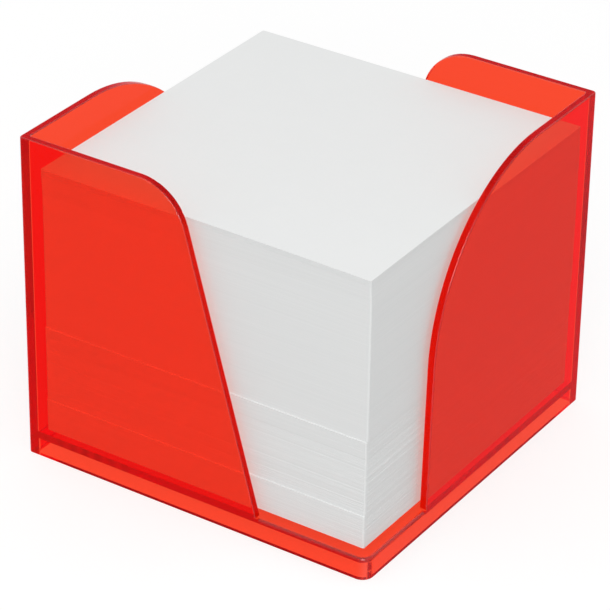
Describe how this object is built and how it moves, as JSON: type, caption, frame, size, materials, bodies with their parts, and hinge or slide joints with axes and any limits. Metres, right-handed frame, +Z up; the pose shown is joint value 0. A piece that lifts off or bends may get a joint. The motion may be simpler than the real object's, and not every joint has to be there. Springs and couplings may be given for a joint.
{
  "type": "note paper holder",
  "caption": "Clear red desk holder for loose square note paper, with two tall corner walls and two open corners for the fingers, filled with white sheets.",
  "frame": {"origin": "on the table, under the middle of the base", "axes": "+Z up; X along the walls with slanted ends, Y along the walls with sweeping ends; the open corners are at (+X, -Y), the front, and at (-X, +Y), the back"},
  "size_m": [0.097, 0.097, 0.0855],
  "materials": {
    "clear_red_plastic": "glossy, transparent, tinted through",
    "note_paper": "uncoated, matt"
  },
  "bodies": {
    "holder": {"holder": "clear_red_plastic"},
    "paper_stack_bottom": {"paper_stack_bottom": "note_paper"},
    "paper_stack_lower": {"paper_stack_lower": "note_paper"},
    "paper_stack_thin": {"paper_stack_thin": "note_paper"},
    "paper_stack_main": {"paper_stack_main": "note_paper"},
    "paper_stack_top": {"paper_stack_top": "note_paper"},
    "note_sheet_01": {"note_sheet_01": "note_paper"},
    "note_sheet_02": {"note_sheet_02": "note_paper"},
    "note_sheet_03": {"note_sheet_03": "note_paper"},
    "note_sheet_04": {"note_sheet_04": "note_paper"},
    "note_sheet_05": {"note_sheet_05": "note_paper"},
    "note_sheet_06": {"note_sheet_06": "note_paper"},
    "note_sheet_07": {"note_sheet_07": "note_paper"},
    "note_sheet_08": {"note_sheet_08": "note_paper"},
    "note_sheet_09": {"note_sheet_09": "note_paper"},
    "note_sheet_10": {"note_sheet_10": "note_paper"},
    "note_sheet_11": {"note_sheet_11": "note_paper"},
    "note_sheet_12": {"note_sheet_12": "note_paper"},
    "note_sheet_13": {"note_sheet_13": "note_paper"},
    "note_sheet_14": {"note_sheet_14": "note_paper"}
  },
  "joints": [
    {"name": "lift_paper_stack_bottom", "type": "slide", "parent": "holder", "child": "paper_stack_bottom", "axis": [0, 0, 1], "range_m": [0, 0.0845]},
    {"name": "lift_paper_stack_lower", "type": "slide", "parent": "paper_stack_bottom", "child": "paper_stack_lower", "axis": [0, 0, 1], "range_m": [0, 0.0759]},
    {"name": "lift_paper_stack_thin", "type": "slide", "parent": "paper_stack_lower", "child": "paper_stack_thin", "axis": [0, 0, 1], "range_m": [0, 0.0604]},
    {"name": "lift_paper_stack_main", "type": "slide", "parent": "paper_stack_thin", "child": "paper_stack_main", "axis": [0, 0, 1], "range_m": [0, 0.0559]},
    {"name": "lift_paper_stack_top", "type": "slide", "parent": "paper_stack_main", "child": "paper_stack_top", "axis": [0, 0, 1], "range_m": [0, 0.0198]},
    {"name": "lift_note_sheet_01", "type": "slide", "parent": "paper_stack_top", "child": "note_sheet_01", "axis": [0, 0, 1], "range_m": [0, 0.015]},
    {"name": "lift_note_sheet_02", "type": "slide", "parent": "note_sheet_01", "child": "note_sheet_02", "axis": [0, 0, 1], "range_m": [0, 0.0149]},
    {"name": "lift_note_sheet_03", "type": "slide", "parent": "note_sheet_02", "child": "note_sheet_03", "axis": [0, 0, 1], "range_m": [0, 0.0148]},
    {"name": "lift_note_sheet_04", "type": "slide", "parent": "note_sheet_03", "child": "note_sheet_04", "axis": [0, 0, 1], "range_m": [0, 0.0147]},
    {"name": "lift_note_sheet_05", "type": "slide", "parent": "note_sheet_04", "child": "note_sheet_05", "axis": [0, 0, 1], "range_m": [0, 0.0146]},
    {"name": "lift_note_sheet_06", "type": "slide", "parent": "note_sheet_05", "child": "note_sheet_06", "axis": [0, 0, 1], "range_m": [0, 0.0145]},
    {"name": "lift_note_sheet_07", "type": "slide", "parent": "note_sheet_06", "child": "note_sheet_07", "axis": [0, 0, 1], "range_m": [0, 0.0144]},
    {"name": "lift_note_sheet_08", "type": "slide", "parent": "note_sheet_07", "child": "note_sheet_08", "axis": [0, 0, 1], "range_m": [0, 0.0143]},
    {"name": "lift_note_sheet_09", "type": "slide", "parent": "note_sheet_08", "child": "note_sheet_09", "axis": [0, 0, 1], "range_m": [0, 0.0142]},
    {"name": "lift_note_sheet_10", "type": "slide", "parent": "note_sheet_09", "child": "note_sheet_10", "axis": [0, 0, 1], "range_m": [0, 0.0141]},
    {"name": "lift_note_sheet_11", "type": "slide", "parent": "note_sheet_10", "child": "note_sheet_11", "axis": [0, 0, 1], "range_m": [0, 0.014]},
    {"name": "lift_note_sheet_12", "type": "slide", "parent": "note_sheet_11", "child": "note_sheet_12", "axis": [0, 0, 1], "range_m": [0, 0.0139]},
    {"name": "lift_note_sheet_13", "type": "slide", "parent": "note_sheet_12", "child": "note_sheet_13", "axis": [0, 0, 1], "range_m": [0, 0.0138]},
    {"name": "lift_note_sheet_14", "type": "slide", "parent": "note_sheet_13", "child": "note_sheet_14", "axis": [0, 0, 1], "range_m": [0, 0.0137]}
  ]
}
